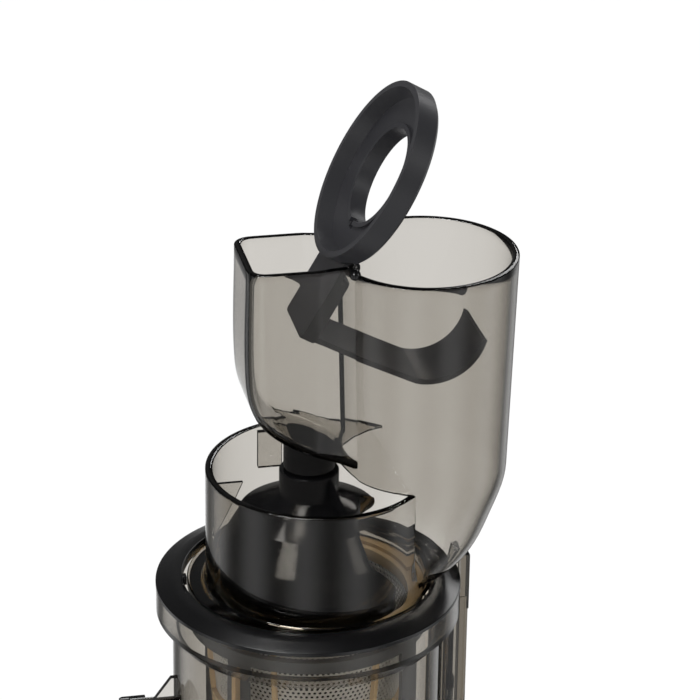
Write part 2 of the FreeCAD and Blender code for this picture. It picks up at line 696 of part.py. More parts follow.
def make_motor_shaft():
    shaft = rod(4.0, 14.0, 131.0, 0, MOTOR_Y)
    fan_hub = rod(9.0, 15.0, 23.0, 0, MOTOR_Y)
    blades = []
    for blade in ring_copies(block(6.0, 34.0, -1.0, 1.0, 15.0, 23.0), 9):
        blade.translate(V(0, MOTOR_Y, 0))
        blades.append(blade)
    return shaft, union([fan_hub] + blades).cut(rod(4.02, 10, 30, 0, MOTOR_Y))


def make_motor_pinion():
    pinion = spur_gear(MOTOR_TEETH, FAST_MODULE, 4.02, 118.5, 130.5, turn=90.0)
    pinion.translate(V(0, MOTOR_Y, 0))
    return pinion


def make_layshaft_gears():
    """Wheel and pinion in one piece, turning on the layshaft pin."""
    half_tooth = 180.0 / WHEEL_TEETH
    wheel = spur_gear(WHEEL_TEETH, FAST_MODULE, 4.0 + RUNNING_FIT, 119.5, 129.5, turn=half_tooth - 90.0)
    pinion = spur_gear(PINION_TEETH, OUTPUT_MODULE, 4.0 + RUNNING_FIT, 129.5, 146.0, turn=-90.0)
    gears = union([wheel, pinion])
    gears.translate(V(0, LAYSHAFT_Y, 0))
    return gears


def make_output_gear():
    half_tooth = 180.0 / OUTPUT_TEETH
    return spur_gear(OUTPUT_TEETH, OUTPUT_MODULE, SHAFT_R + 0.02, 133.5, 144.5, turn=90.0 + half_tooth)


def gearbox_prism(grow, z0, z1):
    big = rod(42.0 + grow, z0, z1)
    small = rod(29.0 + grow, z0, z1, 0, LAYSHAFT_Y)
    web = block(-29.0 - grow, 29.0 + grow, 0, LAYSHAFT_Y, z0, z1)
    return union([big, small, web])


def make_gearbox_plate():
    plate = gearbox_prism(4.0, MOTOR_TOP + 0.5, 117.5)
    plate = plate.cut(rod(SHAFT_R, 100, 130, 0, MOTOR_Y))
    boss = rod(11.0, 117.5, 121.0)
    return union([plate, boss])


def make_gearbox_cover():
    cover = gearbox_prism(3.0, 117.5, 152.0).cut(gearbox_prism(0, 117.0, 149.0))
    cover = union([cover, rod(15.0, 151.0, 160.0)])
    return cover.cut(rod(11.0, 149.5, 170.0)).cut(rod(SHAFT_R + 1, 140, 170))


def make_bearing():
    return tube(10.98, SHAFT_R + 0.05, 150.0, 159.0)


def make_layshaft_pin():
    return rod(4.0, 117.5, 149.0, 0, LAYSHAFT_Y)


def make_knob():
    y = BASE_FRONT
    body = Part.makeCone(KNOB_R, KNOB_R - 2.5, 12.0, V(0, y - 1.0, KNOB_Z), V(0, -1, 0))
    grip = block(-3.5, 3.5, y - 16.5, y - 12.0, KNOB_Z - 15.0, KNOB_Z + 15.0)
    stem = Part.makeCylinder(5.4, 10, V(0, y - 2.0, KNOB_Z), Y_AXIS)
    return union([body, grip, stem])


def make_switch():
    y = BASE_FRONT + WALL + 6.0
    return block(-14, 14, y, y + 18, KNOB_Z - 14, KNOB_Z + 14)


def make_control_board():
    board = block(-32, 32, -68.0, -66.4, 24, 70)
    relay = block(-26, -12, -66.4, -52, 30, 46)
    capacitor = block(-4, 10, -66.4, -58, 30, 60)
    driver = block(16, 28, -66.4, -56, 36, 52)
    return union([board, relay, capacitor, driver])


def make_micro_switch():
    body = block(ROD_X - 9, ROD_X + 2.0, -4, 4, 148, 164)
    button = rod(1.2, 163, 168.5, ROD_X)
    return body.fuse(button)


def make_cord_gland():
    """Grommet in the rear wall where a mains lead would enter."""
    outer = Part.makeCylinder(9.0, 2.0, V(0, BASE_REAR, 30), Y_AXIS)
    neck = Part.makeCylinder(6.1, 8.0, V(0, BASE_REAR - 7, 30), Y_AXIS)
    nut = Part.makeCylinder(9.0, 3.0, V(0, BASE_REAR - WALL - 3.2, 30), Y_AXIS)
    hole = Part.makeCylinder(3.6, 40, V(0, BASE_REAR - 20, 30), Y_AXIS)
    return union([outer, neck, nut]).cut(hole)


def make_cover_screws():
    screws = []
    for x in (-54, 54):
        for y in (-30, 45):
            head = rod(3.8, 3.6, HOUSING_BOTTOM, x, y)
            screws.append(head)
    return Part.makeCompound(screws)


os.makedirs("parts", exist_ok=True)
motor_shaft, cooling_fan = make_motor_shaft()
nodes = {
    "flip_gate": make_gate(),
    "gate_hinge_pins": make_hinge_pins(),
    "hopper": make_hopper(),
    "chamber_bowl": make_bowl(),
    "upper_bush": make_upper_bush(),
    "lock_ring": make_lock_ring(),
    "lid_gasket": make_lid_gasket(),
    "drum": make_drum(),
    "drum_shaft_seal": make_drum_seal(),
    "juice_cap": make_juice_cap(),
    "juice_cap_bracket": make_cap_bracket(),
    "strainer_frame": make_strainer_frame(),
    "strainer_mesh": make_strainer_mesh(),
    "auger": make_auger(),
    "auger_drive_insert": make_drive_insert(),
    "auger_gear": make_auger_gear(),
    "idler_gear": make_idler(),
    "wiper_cage": make_wiper_cage(),
    "wiper_blades": make_wipers(),
    "interlock_rod": make_interlock_rod(),
    "interlock_spring": make_interlock_spring(),
    "base_housing": make_housing(),
    "top_deck": make_deck(),
    "bottom_cover": make_bottom_cover(),
    "rubber_feet": make_feet(),
    "cover_screws": make_cover_screws(),
    "motor_can": make_motor_can(),
    "motor_shaft": motor_shaft,
    "cooling_fan": cooling_fan,
    "motor_pinion": make_motor_pinion(),
    "layshaft_gears": make_layshaft_gears(),
    "layshaft_pin": make_layshaft_pin(),
    "output_gear": make_output_gear(),
    "drive_shaft": make_drive_shaft(),
    "gearbox_plate": make_gearbox_plate(),
    "gearbox_cover": make_gearbox_cover(),
    "output_bearing": make_bearing(),
    "control_knob": make_knob(),
    "rotary_switch": make_switch(),
    "control_board": make_control_board(),
    "micro_switch": make_micro_switch(),
    "cord_gland": make_cord_gland(),
}
for name, shape in nodes.items():
    save(name, shape)
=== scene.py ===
"""Looks of the vertical auger juicer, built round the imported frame. Lengths are in metres."""
import json
import math

import bmesh
import bpy
from mathutils import Matrix, Vector


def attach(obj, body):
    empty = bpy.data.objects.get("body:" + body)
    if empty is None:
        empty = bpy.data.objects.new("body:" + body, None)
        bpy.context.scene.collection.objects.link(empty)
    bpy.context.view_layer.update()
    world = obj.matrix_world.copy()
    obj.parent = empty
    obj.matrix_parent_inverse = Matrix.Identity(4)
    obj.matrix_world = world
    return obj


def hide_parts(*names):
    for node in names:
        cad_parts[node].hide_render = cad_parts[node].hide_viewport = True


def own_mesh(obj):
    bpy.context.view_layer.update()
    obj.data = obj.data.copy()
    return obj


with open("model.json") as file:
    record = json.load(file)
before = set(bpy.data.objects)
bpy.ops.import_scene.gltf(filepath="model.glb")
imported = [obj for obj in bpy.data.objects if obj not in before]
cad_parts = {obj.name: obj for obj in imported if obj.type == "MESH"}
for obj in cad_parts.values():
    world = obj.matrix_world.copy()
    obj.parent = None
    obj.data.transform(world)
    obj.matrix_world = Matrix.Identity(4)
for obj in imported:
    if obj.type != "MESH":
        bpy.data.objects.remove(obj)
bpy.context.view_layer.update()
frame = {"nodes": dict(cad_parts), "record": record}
MM = 0.001
NODES = frame["nodes"]

# The photograph's camera, in millimetres from the drum axis at the lock ring's top edge
RING_Z = 310.0
HOPPER_TURN = math.radians(11.5)
CAMERA_BACK = 1464.0
CAMERA_ABOVE = 804.5
CAMERA_PITCH = math.radians(24.96)
CAMERA_YAW = math.radians(0.74)
CAMERA_ROLL = math.radians(0.83)
SENSOR_WIDTH = 36.0
CARD_LOBES = 7           # light cards round the object, seen as upright bands in gloss
# Brightness of the sweep on open surfaces, in gloss, and on what stands behind the smoky walls
SKY_LIGHT = (0.2, 0.12, 2.3)
FLOOR_LIGHT = (0.25, 0.8, 2.3)
# Lamps: name, place in metres, width and height in metres, power in watts
LAMPS = (("key", (-1.3, -1.5, 1.7), 0.9, 0.9, 24.0), ("fill", (1.6, -1.0, 1.0), 0.5, 0.9, 4.0),
         ("rim", (0.9, 1.4, 1.5), 0.8, 0.8, 7.0), ("top", (-0.3, 0.2, 2.0), 0.7, 0.7, 10.0))
FOCAL_LENGTH = 174.96

# Clear lid, in millimetres, heights above the lock ring's top edge
LID_CENTRE = 40.0        # x of the upright line that all of the lid's outlines go round
CHUTE_X = 55.0
CHUTE_R_TOP = 44.7
CHUTE_R_FOOT = 41.8
CHUTE_WALL = 3.3
CHUTE_RIM = 169.6
BOX_RIM = 173.5
EAR_RISE = 2.4           # the hinge ears stand this far above the box rim
BOX_HALF = 24.5
NECK_HALF = 22.0
NECK_X = 20.0
BOX_CORNER = 9.0
BOWL_X = 5.4
BOWL_R = 55.5
BOWL_WALL = 3.5
BOWL_RIM = 60.7
LIP_RISE = 4.0           # the chute's lip climbs this far towards the box floor
REAR_BLEND = 7.0         # the bowl runs softly into the shoulder at the rear
FLANGE_R = 59.3
FLANGE_FOOT = -2.0
FLANGE_TOP = 2.0
EDGE_ROUND = 0.6
SHOULDER_X = ((4.2, 22.0), (11.5, 35.5), (21.9, 43.5), (38.5, 50.2), (50.0, 53.6), (56.0, 54.7), (60.7, 55.0))
SHOULDER_R = ((4.2, 37.4), (11.5, 38.8), (21.9, 39.8), (38.5, 40.5), (50.0, 41.4), (56.0, 41.7), (60.7, 41.8))
BOX_OUTSIDE = ((61.6, 28.0), (72.1, 6.2), (82.6, -15.6), (95.2, -28.6), (115.0, -33.8), (173.5, -33.8))
BOX_INSIDE = ((64.5, 29.4), (75.0, 7.6), (85.5, -14.2), (97.3, -26.2), (115.0, -30.6), (173.5, -30.6))

# Fin and rib inside the bowl: outline in x and height, and the two faces' depths
FIN = ((-46.4, 60.0), (-34.0, 60.0), (-46.4, 31.0))
FIN_DEPTHS = (-9.0, -7.0)
RIB = ((-17.0, 40.0), (-17.0, 59.5), (-5.0, 59.5), (-5.0, 40.0))
RIB_DEPTHS = (43.0, 46.2)
NECK_TURN = math.radians(135)  # plan angle where the bowl's columns change their spacing

# Auger, heights above the lock ring's top edge
AUGER_FOOT = -102.5
AUGER_NECK_TOP = 59.8
AUGER_PROFILE = ((-102.5, 39.9), (-76.0, 42.2), (-50.0, 43.0), (22.0, 43.0), (37.4, 34.0), (47.0, 14.5),
                 (59.8, 14.5))
JOURNAL_R = 5.0
JOURNAL_TOP = 68.0
GROOVE_ROOT = 25.0
GROOVE_ANGLE = -57.0
GROOVE_START = 24.0
GROOVE_PITCH = 240.0
GROOVE_HEIGHT = 58.0
GROOVE_TURN = 140.0
GROOVE_EDGE = 0.8        # the groove's edges are broken over this height
AUGER_COLUMNS = 240
SHANK_ROWS = 70
GROOVE_ROWS = 60
NECK_ROWS = 50
EDGE_ROWS = 6
SOCKET_R = 7.5

# Strainer sheet and interlock spring
MESH_R_TOP = 49.6
MESH_R_FOOT = 41.6
MESH_TOP = 300.0
MESH_FOOT = 206.0
SHEET_THICK = 0.5
HOLE_PITCH = 2.5
HOLE_R = 0.78
ROD_X = 72.4
SPRING_FOOT = 213.75
SPRING_R = 2.55
SPRING_WIRE = 0.75
SPRING_PITCH = 1.6
SPRING_TURNS = 17


def linear(hex_colour):
    """An sRGB hex colour as linear red, green, blue and alpha."""
    parts = []
    for start in (0, 2, 4):
        value = int(hex_colour[start:start + 2], 16) / 255
        parts.append(value / 12.92 if value <= 0.04045 else ((value + 0.055) / 1.055) ** 2.4)
    return (*parts, 1.0)


def add_node(tree, kind, settings=None, links=None):
    """Add one shader node, set its properties or sockets, and link its inputs."""
    node = tree.nodes.new(kind)
    for key, value in (settings or {}).items():
        if isinstance(key, int) or key in node.inputs:
            node.inputs[key].default_value = value
        else:
            setattr(node, key, value)
    for key, source in (links or {}).items():
        tree.links.new(source, node.inputs[key])
    return node


def new_material(name):
    """An empty node material with its output and Principled shader."""
    material = bpy.data.materials.new(name)
    material.use_nodes = True
    tree = material.node_tree
    shader = tree.nodes["Principled BSDF"]
    output = tree.nodes["Material Output"]
    return material, tree, shader, output


def smoky_clear_copolyester():
    """Injection-moulded clear copolyester with a grey-brown dye.

    The tint deepens with the path through the wall, so rims and edges read black and walls pale.
    """
    material, tree, shader, output = new_material("smoky_clear_copolyester_moulded")
    shader.inputs["Base Color"].default_value = (1, 1, 1, 1)
    shader.inputs["Transmission Weight"].default_value = 1.0
    shader.inputs["IOR"].default_value = 1.5
    place = add_node(tree, "ShaderNodeTexCoord")
    ripple = add_node(tree, "ShaderNodeTexNoise", {"Scale": 1 / (30 * MM), "Detail": 2.0},
                      {"Vector": place.outputs["Object"]})
    rough = add_node(tree, "ShaderNodeMapRange", {"To Min": 0.0, "To Max": 0.02},
                     {"Value": ripple.outputs["Fac"]})
    tree.links.new(rough.outputs["Result"], shader.inputs["Roughness"])
    dye = add_node(tree, "ShaderNodeVolumeAbsorption", {"Color": (0.34, 0.29, 0.20, 1), "Density": 205.0})
    tree.links.new(dye.outputs["Volume"], output.inputs["Volume"])
    return material


def moulded_plastic(name, colour, roughness, grain_mm, grain_depth):
    """Moulded ABS or nylon: an even colour, a fine tool texture and slightly uneven gloss."""
    material, tree, shader, output = new_material(name)
    shader.inputs["IOR"].default_value = 1.53
    place = add_node(tree, "ShaderNodeTexCoord")
    grain = add_node(tree, "ShaderNodeTexNoise", {"Scale": 1 / (grain_mm * MM), "Detail": 3.0},
                     {"Vector": place.outputs["Object"]})
    cloud = add_node(tree, "ShaderNodeTexNoise", {"Scale": 1 / (25 * MM), "Detail": 2.0},
                     {"Vector": place.outputs["Object"]})
    base = linear(colour)
    lighter = tuple(min(1.0, part * 1.18) for part in base[:3]) + (1.0,)
    tint = add_node(tree, "ShaderNodeMix", {"data_type": "RGBA"}, {"Factor": cloud.outputs["Fac"]})
    tint.inputs[6].default_value = base
    tint.inputs[7].default_value = lighter
    tree.links.new(tint.outputs[2], shader.inputs["Base Color"])
    gloss = add_node(tree, "ShaderNodeMapRange", {"To Min": roughness * 0.85, "To Max": roughness * 1.2},
                     {"Value": cloud.outputs["Fac"]})
    tree.links.new(gloss.outputs["Result"], shader.inputs["Roughness"])
    bump = add_node(tree, "ShaderNodeBump", {"Strength": 0.25, "Distance": grain_depth * MM},
                    {"Height": grain.outputs["Fac"]})
    tree.links.new(bump.outputs["Normal"], shader.inputs["Normal"])
    return material


def amber_resin():
    """Moulded translucent amber resin: light comes through it warm brown."""
    material, tree, shader, output = new_material("amber_resin_moulded")
    shader.inputs["IOR"].default_value = 1.6
    shader.inputs["Transmission Weight"].default_value = 0.3
    place = add_node(tree, "ShaderNodeTexCoord")
    cloud = add_node(tree, "ShaderNodeTexNoise", {"Scale": 1 / (12 * MM), "Detail": 2.0},
                     {"Vector": place.outputs["Object"]})
    rough = add_node(tree, "ShaderNodeMapRange", {"To Min": 0.06, "To Max": 0.14},
                     {"Value": cloud.outputs["Fac"]})
    tree.links.new(rough.outputs["Result"], shader.inputs["Roughness"])
    shader.inputs["Base Color"].default_value = linear("e2c79c")
    return material


def metal(name, colour, roughness, streak_mm, bare=1.0):
    """Drawn, turned or rolled metal with fine streaks in its gloss; bare is less where it is blasted dull."""
    material, tree, shader, output = new_material(name)
    shader.inputs["Metallic"].default_value = bare
    shader.inputs["Base Color"].default_value = linear(colour)
    place = add_node(tree, "ShaderNodeTexCoord")
    stretch = add_node(tree, "ShaderNodeMapping", {"Scale": (1.0, 1.0, 8.0)},
                       {"Vector": place.outputs["Object"]})
    streaks = add_node(tree, "ShaderNodeTexNoise", {"Scale": 1 / (streak_mm * MM), "Detail": 4.0},
                       {"Vector": stretch.outputs["Vector"]})
    rough = add_node(tree, "ShaderNodeMapRange", {"To Min": roughness * 0.7, "To Max": roughness * 1.3},
                     {"Value": streaks.outputs["Fac"]})
    tree.links.new(rough.outputs["Result"], shader.inputs["Roughness"])
    return material


# Smoky lid and drum: pale walls with black rims
SMOKY = smoky_clear_copolyester()
# Gate and its scoop: dark satin with a soft sheen along the edges
CHARCOAL = moulded_plastic("charcoal_abs_satin_moulded", "2d2d30", 0.36, 0.5, 0.006)
# Lock ring, bush, deck, cap and knob: near black with soft upright bands
BLACK = moulded_plastic("black_abs_polished_moulded", "0a0a0b", 0.2, 0.6, 0.004)
# Auger and hinge pins: deep black gloss that mirrors the light cards
AUGER_BLACK = moulded_plastic("black_resin_gloss_moulded", "0b0b0c", 0.12, 0.8, 0.0015)
# Base: dark grey with a fine spark texture that breaks its highlights
HOUSING = moulded_plastic("graphite_abs_spark_textured", "2a2b2d", 0.45, 0.45, 0.015)
# Feet and lead gland: dull black
RUBBER = moulded_plastic("black_rubber_moulded", "141414", 0.75, 0.7, 0.05)
# Gasket, seal and wiper blades: warm brown, soft gloss
SILICONE = moulded_plastic("amber_silicone_moulded", "b3976c", 0.45, 0.9, 0.01)
# Moulded gears: off-white, waxy
NYLON = moulded_plastic("white_nylon_moulded", "d9d7cd", 0.42, 0.5, 0.02)
# Wiper cage: mid grey behind the smoky drum
GREY_RESIN = moulded_plastic("grey_resin_moulded", "4a4b4c", 0.3, 0.6, 0.01)
# Control board: green laminate
BOARD = moulded_plastic("green_laminate_board", "1f5a38", 0.4, 0.4, 0.02)
# Strainer frame: warm brown bars that let some light through
AMBER = amber_resin()
# Shafts, pins, screws, pinion and idler: turned, with fine streaks in the gloss
STEEL = metal("steel_turned", "c9c9c6", 0.28, 0.6)
# Strainer sheet: pale rolled and blasted steel, dotted dark by its holes
SHEET_STEEL = metal("stainless_sheet_rolled_blasted", "d6d4cf", 0.35, 0.5, 0.4)
# Interlock spring: bright drawn wire
SPRING_STEEL = metal("spring_steel_drawn", "b9b9b6", 0.22, 0.4)
# Motor can and gearbox: dull cast metal
CAST = metal("aluminium_die_cast", "a9aaab", 0.5, 1.2)
# Material slot of the record, and its finish
SLOT_FINISH = {
    "charcoal_abs": CHARCOAL, "gloss_pin": AUGER_BLACK, "smoky_clear": SMOKY, "black_plastic": BLACK,
    "silicone": SILICONE, "amber_resin": AMBER, "perforated_steel": SHEET_STEEL, "gloss_black": AUGER_BLACK,
    "steel": STEEL, "white_nylon": NYLON, "grey_resin": GREY_RESIN, "spring_steel": SPRING_STEEL,
    "housing_plastic": HOUSING, "rubber": RUBBER, "motor_steel": CAST, "cast_metal": CAST, "board": BOARD,
}
# Width of the broken edge, in millimetres, on the nodes whose edges show
SOFT_EDGES = {
    "flip_gate": 0.35, "lock_ring": 0.7, "upper_bush": 0.6, "control_knob": 0.8, "juice_cap": 0.5,
    "juice_cap_bracket": 0.4, "interlock_rod": 0.4, "cord_gland": 0.5,
}


def finish_cad_nodes():
    """Give every node of the frame the finish of its material slot, and smooth its curved faces."""
    for part in frame["record"]["subparts"]:
        name = part["node"]
        node = NODES[name]
        node.data.materials.clear()
        node.data.materials.append(SLOT_FINISH[part["material_slot"]])
        for face in node.data.polygons:
            face.use_smooth = True
        if name in SOFT_EDGES:
            weld = node.modifiers.new("joined_edges", "WELD")
            weld.merge_threshold = 0.005 * MM
            edge = node.modifiers.new("broken_edges", "BEVEL")
            edge.width = SOFT_EDGES[name] * MM
            edge.segments = 3
            edge.limit_method = "ANGLE"
            edge.angle_limit = math.radians(38)
            edge.use_clamp_overlap = True
            shade = node.modifiers.new("even_normals", "WEIGHTED_NORMAL")
            shade.keep_sharp = False


def add_piece(name, points, faces, finish, body, nodes, crease=40):
    """A visible piece from points in millimetres, riding a body in place of the nodes it stands for."""
    mesh = bpy.data.meshes.new(name)
    mesh.from_pydata([(x * MM, y * MM, z * MM) for x, y, z in points], [], faces)
    work = bmesh.new()
    work.from_mesh(mesh)
    bmesh.ops.remove_doubles(work, verts=work.verts, dist=0.0005 * MM)
    bmesh.ops.dissolve_degenerate(work, edges=work.edges, dist=0.0005 * MM)
    bmesh.ops.recalc_face_normals(work, faces=work.faces)
    work.to_mesh(mesh)
    work.free()
    for face in mesh.polygons:
        face.use_smooth = True
    mesh.set_sharp_from_angle(angle=math.radians(crease))
    mesh.materials.append(finish)
    piece = bpy.data.objects.new(name, mesh)
    bpy.context.scene.collection.objects.link(piece)
    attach(piece, body)
    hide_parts(*nodes)
    return piece


def add_strip(points, faces, rows, closed):
    """Bridge equal rows of points with four-sided faces."""
    start = len(points)
    count = len(rows[0])
    for row in rows:
        points.extend(row)
    for row in range(len(rows) - 1):
        for column in range(count if closed else count - 1):
            here = start + row * count + column
            beside = start + row * count + (column + 1) % count
            faces.append((here, beside, beside + count, here + count))


def add_prism(points, faces, outline, depths):
    """A thin plate: an outline in x and up, between two depths in y."""
    start = len(points)
    count = len(outline)
    for depth in depths:
        for across, height in outline:
            points.append((across, depth, RING_Z + height))
    faces.append(tuple(range(start, start + count)))
    faces.append(tuple(reversed(range(start + count, start + 2 * count))))
    for corner in range(count):
        after = (corner + 1) % count
        faces.append((start + after, start + corner, start + count + corner, start + count + after))


def along(knots, at):
    """A smooth curve through (place, value) knots, straight beyond its ends."""
    if at <= knots[0][0]:
        first, second = knots[0], knots[1]
        return first[1] + (at - first[0]) * (second[1] - first[1]) / (second[0] - first[0])
    if at >= knots[-1][0]:
        return knots[-1][1]
    index = 0
    while knots[index + 1][0] < at:
        index += 1
    slopes = []
    for knot in (index, index + 1):
        low, high = max(knot - 1, 0), min(knot + 1, len(knots) - 1)
        slopes.append((knots[high][1] - knots[low][1]) / (knots[high][0] - knots[low][0]))
    (x0, y0), (x1, y1) = knots[index], knots[index + 1]
    span = x1 - x0
    t = (at - x0) / span
    return ((1 + 2 * t) * (1 - t) ** 2 * y0 + t * (1 - t) ** 2 * span * slopes[0]
            + t * t * (3 - 2 * t) * y1 + t * t * (t - 1) * span * slopes[1])


def ease(low, high, at):
    """Smooth step from 0 at low to 1 at high."""
    t = min(1.0, max(0.0, (at - low) / (high - low)))
    return t * t * (3 - 2 * t)


def circle_reach(angle, centre_x, radius):
    """Distance from the lid's centre line to a circle, along a plan angle."""
    offset = centre_x - LID_CENTRE
    inward = offset * math.cos(angle)
    return inward + math.sqrt(max(0.0, radius ** 2 - (offset * math.sin(angle)) ** 2))


def box_holds(x, y, height, inside):
    """Whether a plan point is in the hopper box at a height."""
    if x > CHUTE_X:
        return False
    inset = CHUTE_WALL if inside else 0.0
    left = along(BOX_INSIDE if inside else BOX_OUTSIDE, height)
    share = min(1.0, max(0.0, x / NECK_X))
    half = BOX_HALF - (BOX_HALF - NECK_HALF) * share * (2 - share) - inset
    corner = BOX_CORNER - inset
    across = left + corner - x
    beyond = abs(y) - half + corner
    if across > 0 and beyond > 0:
        return math.hypot(across, beyond) <= corner
    return across <= corner and beyond <= corner


def chute_radius(height):
    share = (height - BOWL_RIM) / (CHUTE_RIM - BOWL_RIM)
    return CHUTE_R_FOOT + share * (CHUTE_R_TOP - CHUTE_R_FOOT)


def upper_reach(angle, height, inside):
    """Outline of the chute and box together, as a distance from the centre line."""
    near = circle_reach(angle, CHUTE_X, chute_radius(height) - (CHUTE_WALL if inside else 0.0))
    far = 110.0
    if not box_holds(LID_CENTRE + near * math.cos(angle), near * math.sin(angle), height, inside):
        return near
    low = near
    for _ in range(26):
        middle = (low + far) / 2
        if box_holds(LID_CENTRE + middle * math.cos(angle), middle * math.sin(angle), height, inside):
            low = middle
        else:
            far = middle
    return low


def lower_reach(angle, height, inside):
    """Outline of the bowl and the shoulder together, as a distance from the centre line."""
    bowl = circle_reach(angle, BOWL_X, BOWL_R - (BOWL_WALL if inside else 0.0))
    if height < SHOULDER_X[0][0]:
        return bowl
    radius = along(SHOULDER_R, height) - (CHUTE_WALL if inside else 0.0)
    shoulder = circle_reach(angle, along(SHOULDER_X, height), radius)
    blend = REAR_BLEND * ease(0.0, 0.5, math.sin(angle)) * (1 - ease(BOWL_RIM - 14, BOWL_RIM - 1, height))
    gap = max(blend - abs(bowl - shoulder), 0.0)
    return max(bowl, shoulder) + gap * gap / (4 * blend + 1e-9)


def meeting_angle(x1, r1, x2, r2, fallback):
    """Plan angle, about the lid's centre line, where two circles on the x axis cross."""
    x = (r1 ** 2 - r2 ** 2 + x2 ** 2 - x1 ** 2) / (2 * (x2 - x1))
    rest = r1 ** 2 - (x - x1) ** 2
    if rest <= 0:
        return fallback
    return math.atan2(math.sqrt(rest), x - LID_CENTRE)


CORNER = meeting_angle(BOWL_X, BOWL_R, CHUTE_X, CHUTE_R_FOOT, 0.0)
RIGHT_COLUMNS = 40
CHUTE_COLUMNS = 26
BOX_COLUMNS = 44
HALF_COLUMNS = RIGHT_COLUMNS + CHUTE_COLUMNS + BOX_COLUMNS


def column_angle(column, corner, crease):
    """Plan angle of a column: even to the corner, closer together near the neck crease."""
    side = 1 if column <= HALF_COLUMNS else -1
    step = column if column <= HALF_COLUMNS else 2 * HALF_COLUMNS - column
    if step <= RIGHT_COLUMNS:
        return side * corner * step / RIGHT_COLUMNS
    step -= RIGHT_COLUMNS
    if step <= CHUTE_COLUMNS:
        share = step / CHUTE_COLUMNS
        return side * (corner + (crease - corner) * (1 - (1 - share) ** 1.8))
    share = (step - CHUTE_COLUMNS) / BOX_COLUMNS
    return side * (crease + (math.pi - crease) * share ** 1.4)


def neck_crease(height, inside):
    """Plan angle where the chute meets the box wall."""
    inset = CHUTE_WALL if inside else 0.0
    half = NECK_HALF + 0.05 - inset
    radius = chute_radius(height) - inset
    return math.atan2(half, CHUTE_X - math.sqrt(radius ** 2 - half ** 2) - LID_CENTRE)


